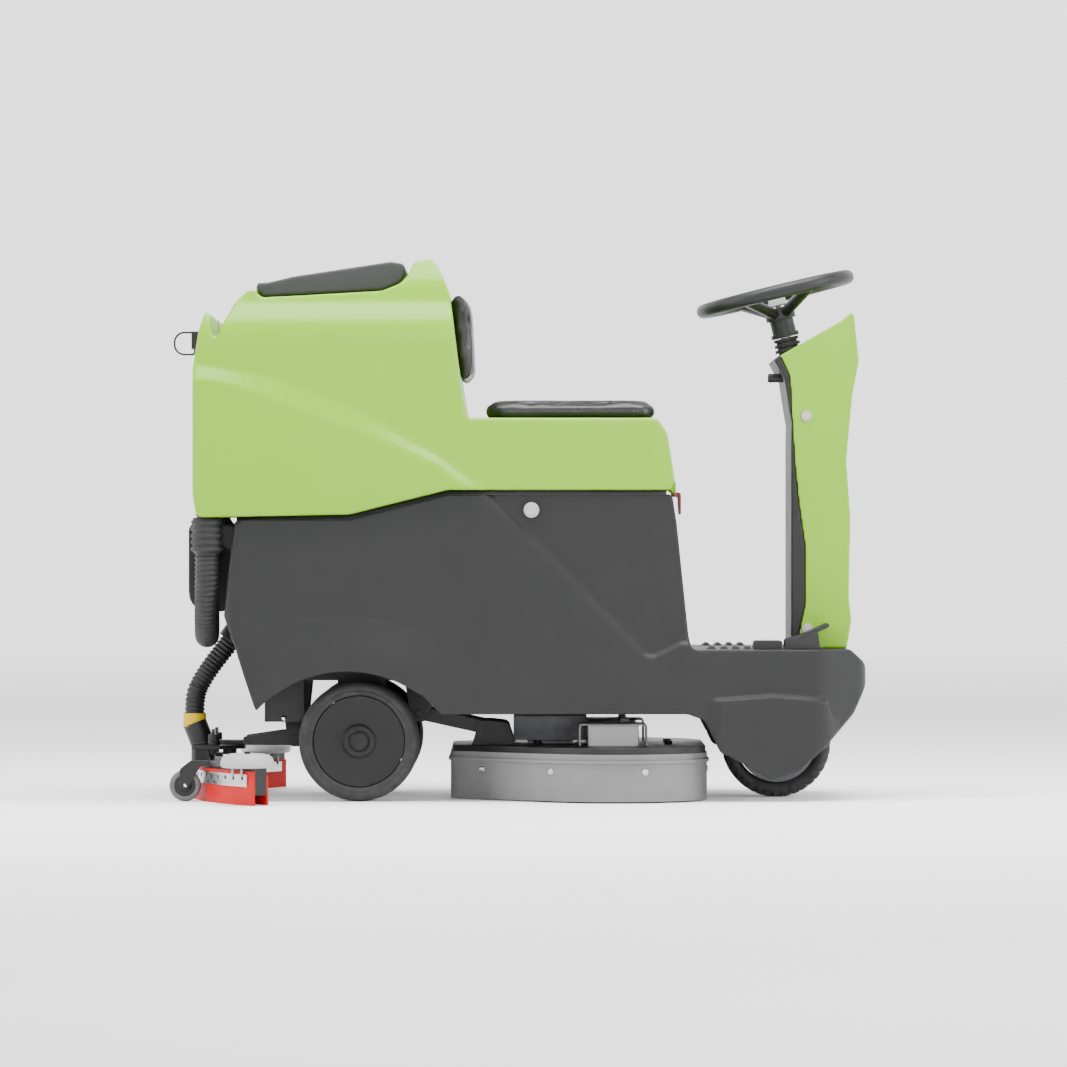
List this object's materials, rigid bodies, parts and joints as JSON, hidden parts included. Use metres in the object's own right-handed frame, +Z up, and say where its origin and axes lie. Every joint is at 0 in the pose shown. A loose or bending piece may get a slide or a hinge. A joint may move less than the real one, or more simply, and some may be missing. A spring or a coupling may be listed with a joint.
{
  "type": "ride-on floor scrubber dryer",
  "caption": "Ride-on floor scrubber-dryer with tilting recovery tank and seat, steered front drive wheel, lifting disc brush deck and swivelling suction squeegee",
  "frame": {"origin": "on the floor under the middle of the machine's bounding box", "axes": "+X forward, +Y to the machine's left, +Z up"},
  "size_m": [1.376, 0.944, 1.0626],
  "materials": {
    "green_shell": "moulded satin",
    "dark_shell": "fine grained",
    "lid_plastic": "fine grained",
    "vinyl": "smooth vinyl",
    "black_steel": "powder coat",
    "bright_steel": "machined",
    "tyre_rubber": "worn smooth",
    "wheel_disc": "satin",
    "hub_motor": "satin",
    "black_plastic": "satin",
    "light_button": "satin",
    "skirt_grey": "satin",
    "cover_grey": "satin",
    "roller_grey": "satin",
    "castor_grey": "smooth",
    "red_rubber": "smooth",
    "black_rubber": "ribbed",
    "yellow_cuff": "satin",
    "latch_red": "satin",
    "battery_case": "satin",
    "water_tank": "translucent white",
    "bristle": "bristle"
  },
  "bodies": {
    "chassis": {"chassis_frame": "black_steel", "frame_brackets": "black_steel", "rear_axle": "bright_steel", "lower_body": "dark_shell", "battery_pack": "battery_case", "clean_tank": "water_tank", "rear_cover": "dark_shell", "hinge_brackets": "black_steel", "cover_screws": "cover_grey", "console_cover": "green_shell", "console_panel": "dark_shell", "steering_bellows": "black_rubber", "steering_chain": "bright_steel", "pedal_base": "black_plastic", "hose_elbow": "black_plastic", "suction_hose": "black_rubber"},
    "tank": {"recovery_tank": "green_shell", "hinge_pins": "bright_steel", "vacuum_motor": "hub_motor", "seat_cushion": "vinyl", "backrest_cushion": "vinyl", "drain_hose": "black_rubber", "drain_collar": "black_rubber", "drain_clip": "black_plastic"},
    "latch": {"tank_latch": "latch_red"},
    "lid": {"tank_lid": "lid_plastic", "lid_seal": "black_rubber"},
    "hose_cap": {"drain_cap": "black_plastic"},
    "hand_wheel": {"steering_wheel": "black_plastic", "steering_shaft": "bright_steel"},
    "horn": {"horn_button": "light_button"},
    "lower_steering": {"lower_shaft": "bright_steel"},
    "fork": {"drive_fork": "black_steel"},
    "drive_wheel": {"drive_tyre": "tyre_rubber", "drive_hub": "hub_motor"},
    "rear_wheel_left": {"rear_tyre_left": "tyre_rubber", "rear_rim_left": "wheel_disc"},
    "rear_wheel_right": {"rear_tyre_right": "tyre_rubber", "rear_rim_right": "wheel_disc"},
    "pedal": {"accelerator_pedal": "black_plastic"},
    "key": {"ignition_key": "black_plastic"},
    "lift_arms": {"deck_arms": "black_steel"},
    "deck": {"deck_plate": "black_steel", "deck_skirt": "skirt_grey", "brush_motors": "hub_motor", "motor_covers": "cover_grey"},
    "disc_left": {"brush_left": "bristle"},
    "disc_right": {"brush_right": "bristle"},
    "hitch_arm": {"squeegee_arm": "black_steel"},
    "squeegee": {"squeegee_frame": "black_steel", "squeegee_nozzle": "black_plastic", "hose_cuff": "yellow_cuff", "squeegee_blades": "red_rubber", "blade_clamps": "bright_steel"},
    "castor_left": {"caster_left": "castor_grey"},
    "castor_right": {"caster_right": "castor_grey"},
    "bumper_left": {"roller_left": "roller_grey"},
    "bumper_right": {"roller_right": "roller_grey"},
    "knob_left": {"wing_knob_left": "black_plastic"},
    "knob_right": {"wing_knob_right": "black_plastic"}
  },
  "joints": [
    {"name": "tank_tilt", "type": "hinge", "parent": "chassis", "child": "tank", "pos_m": [-0.611, 0, 0.57], "axis": [0, -1, 0], "range_deg": [0, 50], "deforming": ["drain_hose", "drain_collar", "suction_hose"]},
    {"name": "lid_open", "type": "hinge", "parent": "tank", "child": "lid", "pos_m": [-0.506, 0, 1.011], "axis": [0, -1, 0], "range_deg": [0, 95]},
    {"name": "latch_lift", "type": "hinge", "parent": "tank", "child": "latch", "pos_m": [0.312, 0, 0.603], "axis": [0, -1, 0], "range_deg": [0, 35], "stiffness_Nm_per_rad": 0.4},
    {"name": "cap_pull", "type": "slide", "parent": "tank", "child": "hose_cap", "axis": [0, 0, 1], "range_m": [0, 0.04]},
    {"name": "steering_turn", "type": "hinge", "parent": "chassis", "child": "hand_wheel", "pos_m": [0.515, 0, 1.003], "axis": [-0.2351, 0, 0.972], "range_deg": [-150, 150]},
    {"name": "horn_press", "type": "slide", "parent": "hand_wheel", "child": "horn", "axis": [0.2351, 0, -0.972], "range_m": [0, 0.003], "stiffness_N_per_m": 600},
    {"name": "shaft_turn", "type": "hinge", "parent": "chassis", "child": "lower_steering", "pos_m": [0.622, 0, 0.56072], "axis": [0, 0, 1], "range_deg": [-150, 150]},
    {"name": "fork_steer", "type": "hinge", "parent": "chassis", "child": "fork", "pos_m": [0.516, 0, 0.24], "axis": [0, 0, 1], "range_deg": [-60, 60]},
    {"name": "drive_roll", "type": "hinge", "parent": "fork", "child": "drive_wheel", "pos_m": [0.516, 0, 0.108], "axis": [0, 1, 0], "continuous": true},
    {"name": "rear_roll_left", "type": "hinge", "parent": "chassis", "child": "rear_wheel_left", "pos_m": [-0.31, 0.222, 0.118], "axis": [0, 1, 0], "continuous": true},
    {"name": "rear_roll_right", "type": "hinge", "parent": "chassis", "child": "rear_wheel_right", "pos_m": [-0.31, -0.222, 0.118], "axis": [0, 1, 0], "continuous": true},
    {"name": "pedal_press", "type": "hinge", "parent": "chassis", "child": "pedal", "pos_m": [0.532, -0.202, 0.31], "axis": [0, 1, 0], "range_deg": [0, 16], "stiffness_Nm_per_rad": 6, "springref_deg": -17.19},
    {"name": "key_turn", "type": "hinge", "parent": "chassis", "child": "key", "pos_m": [0.53, -0.06, 0.834], "axis": [1, 0, 0], "range_deg": [0, 90]},
    {"name": "deck_lift", "type": "hinge", "parent": "chassis", "child": "lift_arms", "pos_m": [-0.193, 0, 0.169], "axis": [0, -1, 0], "range_deg": [0, 20]},
    {"name": "deck_level", "type": "hinge", "parent": "lift_arms", "child": "deck", "pos_m": [-0.062, 0, 0.14], "axis": [0, -1, 0], "range_deg": [-20, 0]},
    {"name": "brush_spin_left", "type": "hinge", "parent": "deck", "child": "disc_left", "pos_m": [0.19, 0.172, 0.06], "axis": [0, 0, 1], "continuous": true},
    {"name": "brush_spin_right", "type": "hinge", "parent": "deck", "child": "disc_right", "pos_m": [0.19, -0.172, 0.06], "axis": [0, 0, 1], "continuous": true},
    {"name": "squeegee_lift", "type": "hinge", "parent": "chassis", "child": "hitch_arm", "pos_m": [-0.44, 0, 0.118], "axis": [0, 1, 0], "range_deg": [0, 14], "deforming": ["suction_hose"]},
    {"name": "squeegee_swivel", "type": "hinge", "parent": "hitch_arm", "child": "squeegee", "pos_m": [-0.575, 0, 0.1], "axis": [0, 0, 1], "range_deg": [-15, 15], "deforming": ["suction_hose"]},
    {"name": "castor_roll_left", "type": "hinge", "parent": "squeegee", "child": "castor_left", "pos_m": [-0.651, 0.235, 0.031], "axis": [0, 1, 0], "continuous": true},
    {"name": "bumper_spin_left", "type": "hinge", "parent": "squeegee", "child": "bumper_left", "pos_m": [-0.521, 0.42, 0.086], "axis": [0, 0, 1], "continuous": true},
    {"name": "knob_turn_left", "type": "hinge", "parent": "squeegee", "child": "knob_left", "pos_m": [-0.604, 0.062, 0.11], "axis": [0, 0, 1], "continuous": true},
    {"name": "castor_roll_right", "type": "hinge", "parent": "squeegee", "child": "castor_right", "pos_m": [-0.651, -0.235, 0.031], "axis": [0, 1, 0], "continuous": true},
    {"name": "bumper_spin_right", "type": "hinge", "parent": "squeegee", "child": "bumper_right", "pos_m": [-0.521, -0.42, 0.086], "axis": [0, 0, 1], "continuous": true},
    {"name": "knob_turn_right", "type": "hinge", "parent": "squeegee", "child": "knob_right", "pos_m": [-0.604, -0.062, 0.11], "axis": [0, 0, 1], "continuous": true}
  ],
  "couplings": [
    {"joint": "shaft_turn", "follows": "steering_turn", "ratio": 1},
    {"joint": "fork_steer", "follows": "steering_turn", "ratio": 0.4},
    {"joint": "deck_level", "follows": "deck_lift", "ratio": -1}
  ]
}
